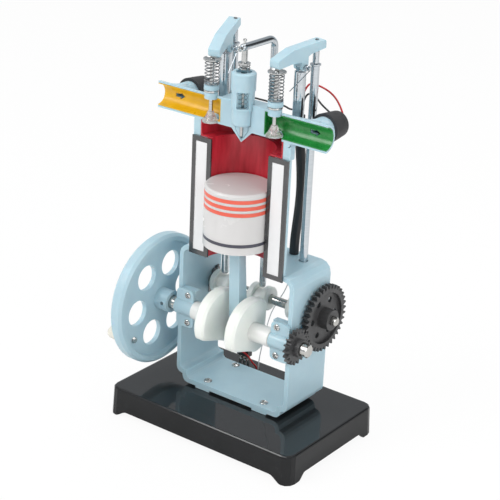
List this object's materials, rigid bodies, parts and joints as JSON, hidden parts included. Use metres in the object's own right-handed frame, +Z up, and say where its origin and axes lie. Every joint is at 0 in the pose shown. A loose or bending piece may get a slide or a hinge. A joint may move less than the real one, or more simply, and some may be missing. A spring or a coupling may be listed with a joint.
{
  "type": "four stroke engine model",
  "caption": "Hand-cranked teaching model of a four stroke engine cut open on its middle plane, with flywheel, piston, cams, rockers and valves on a black tray.",
  "frame": {"origin": "centre of the overall outline, on the plane that the feet stand on", "axes": "+X along the crankshaft to the timing gears, +Y to the back, +Z up; the open side faces -Y"},
  "size_m": [0.2116, 0.1434, 0.3613],
  "materials": {
    "base": "black, glossy",
    "blue": "light blue, satin",
    "white": "white, satin",
    "milky": "milky white, satin",
    "panel": "white middle in a black border",
    "red_lining": "red",
    "yellow_lining": "yellow",
    "green_lining": "green",
    "gear": "black",
    "steel": "turned",
    "chrome": "polished",
    "spring": "drawn wire",
    "brass": "sheet",
    "switch": "black",
    "sleeve": "black tubing",
    "rubber_cap": "dark grey, matt",
    "cream": "cream",
    "orange_ring": "red orange",
    "grey_ring": "dark grey",
    "clear": "clear plastic",
    "bulb": "clear lamp glass",
    "wire_red": "red insulation",
    "wire_black": "black insulation",
    "wire_grey": "grey insulation"
  },
  "bodies": {
    "engine": {"base": "base", "bearing_cap_left": "blue", "bearing_cap_right": "blue", "contact_blade": "brass", "crank_frame": "blue", "cylinder": "blue", "cylinder_head": "blue", "cylinder_liner": "red_lining", "exhaust_lamp_bulb": "bulb", "exhaust_lamp_cap": "rubber_cap", "exhaust_lamp_wire_black": "wire_black", "exhaust_lamp_wire_red": "wire_red", "exhaust_port_lining": "green_lining", "exhaust_rocker_post": "chrome", "exhaust_valve_guide": "blue", "injector_body": "blue", "injector_nozzle": "clear", "intake_lamp_bulb": "bulb", "intake_lamp_cap": "rubber_cap", "intake_lamp_wire": "wire_black", "intake_port_lining": "yellow_lining", "intake_rocker_post": "chrome", "intake_valve_guide": "blue", "micro_switch": "switch", "section_panel_left": "panel", "section_panel_right": "panel", "sleeve_wire": "wire_grey", "switch_wire_red": "wire_red", "wire_sleeve": "sleeve"},
    "crank": {"crank_web_left": "milky", "crank_web_right": "milky", "crankshaft_left": "steel", "crankshaft_right": "steel", "crank_gear": "gear", "flywheel": "blue", "handle_screw": "steel"},
    "handle": {"handle_knob": "cream"},
    "cams": {"camshaft": "steel", "intake_cam": "milky", "injector_cam": "milky", "exhaust_cam": "milky", "cam_gear": "gear"},
    "rod": {"connecting_rod": "blue"},
    "piston": {"piston": "white", "oil_ring": "grey_ring", "lower_ring": "orange_ring", "middle_ring": "orange_ring", "top_ring": "orange_ring"},
    "intake_valve": {"intake_valve_stem": "steel", "intake_valve_head": "clear", "intake_valve_spring": "spring"},
    "exhaust_valve": {"exhaust_valve_stem": "steel", "exhaust_valve_head": "clear", "exhaust_valve_spring": "spring"},
    "intake_arm": {"intake_rocker": "blue"},
    "exhaust_arm": {"exhaust_rocker": "blue"},
    "intake_push": {"intake_pushrod": "chrome"},
    "exhaust_push": {"exhaust_pushrod": "chrome"},
    "injector": {"injector_rod": "chrome", "injector_spring": "spring"}
  },
  "joints": [
    {"name": "crank_turn", "type": "hinge", "parent": "engine", "child": "crank", "pos_m": [0.00475, -0.0107, 0.1037], "axis": [1, 0, 0], "continuous": true},
    {"name": "handle_spin", "type": "hinge", "parent": "crank", "child": "handle", "pos_m": [0.00475, -0.04753, 0.07451], "axis": [1, 0, 0], "continuous": true},
    {"name": "rod_pivot", "type": "hinge", "parent": "crank", "child": "rod", "pos_m": [0.00475, -0.00277, 0.09216], "axis": [1, 0, 0], "continuous": true},
    {"name": "camshaft_turn", "type": "hinge", "parent": "engine", "child": "cams", "pos_m": [0.00475, 0.0305, 0.11669], "axis": [1, 0, 0], "continuous": true},
    {"name": "piston_slide", "type": "slide", "parent": "engine", "child": "piston", "axis": [0, 0, 1], "range_m": [-0.0025, 0.0255]},
    {"name": "exhaust_pushrod_lift", "type": "slide", "parent": "engine", "child": "exhaust_push", "axis": [0, 0, 1], "range_m": [0, 0.00173], "stiffness_N_per_m": 400, "springref_m": -0.001},
    {"name": "exhaust_rocker_tilt", "type": "hinge", "parent": "engine", "child": "exhaust_arm", "pos_m": [0.04323, 0.01439, 0.3393], "axis": [0.977, -0.2134, 0], "range_deg": [-0.1, 6.12]},
    {"name": "exhaust_valve_slide", "type": "slide", "parent": "engine", "child": "exhaust_valve", "axis": [0, 0, 1], "range_m": [-0.0028, 0.0001], "deforming": ["exhaust_valve_spring"]},
    {"name": "intake_pushrod_lift", "type": "slide", "parent": "engine", "child": "intake_push", "axis": [0, 0, 1], "range_m": [-0.00173, 0]},
    {"name": "intake_rocker_tilt", "type": "hinge", "parent": "engine", "child": "intake_arm", "pos_m": [-0.03373, 0.01439, 0.3393], "axis": [0.952, 0.3061, 0], "range_deg": [-6.12, 0.1]},
    {"name": "intake_valve_slide", "type": "slide", "parent": "engine", "child": "intake_valve", "axis": [0, 0, 1], "range_m": [-0.0001, 0.0028], "deforming": ["intake_valve_spring"]},
    {"name": "injector_lift", "type": "slide", "parent": "engine", "child": "injector", "axis": [0, 0, 1], "range_m": [0, 0.003], "stiffness_N_per_m": 300, "springref_m": -0.002, "deforming": ["injector_spring"]}
  ],
  "couplings": [
    {"joint": "camshaft_turn", "follows": "crank_turn", "ratio": -0.5},
    {"joint": "rod_pivot", "follows": "crank_turn", "ratio": -1},
    {"joint": "exhaust_rocker_tilt", "follows": "exhaust_pushrod_lift", "rad_per_m": 60.646},
    {"joint": "exhaust_valve_slide", "follows": "exhaust_pushrod_lift", "ratio": -1.5575},
    {"joint": "intake_rocker_tilt", "follows": "intake_pushrod_lift", "rad_per_m": 60.646},
    {"joint": "intake_valve_slide", "follows": "intake_pushrod_lift", "ratio": -1.5575}
  ]
}
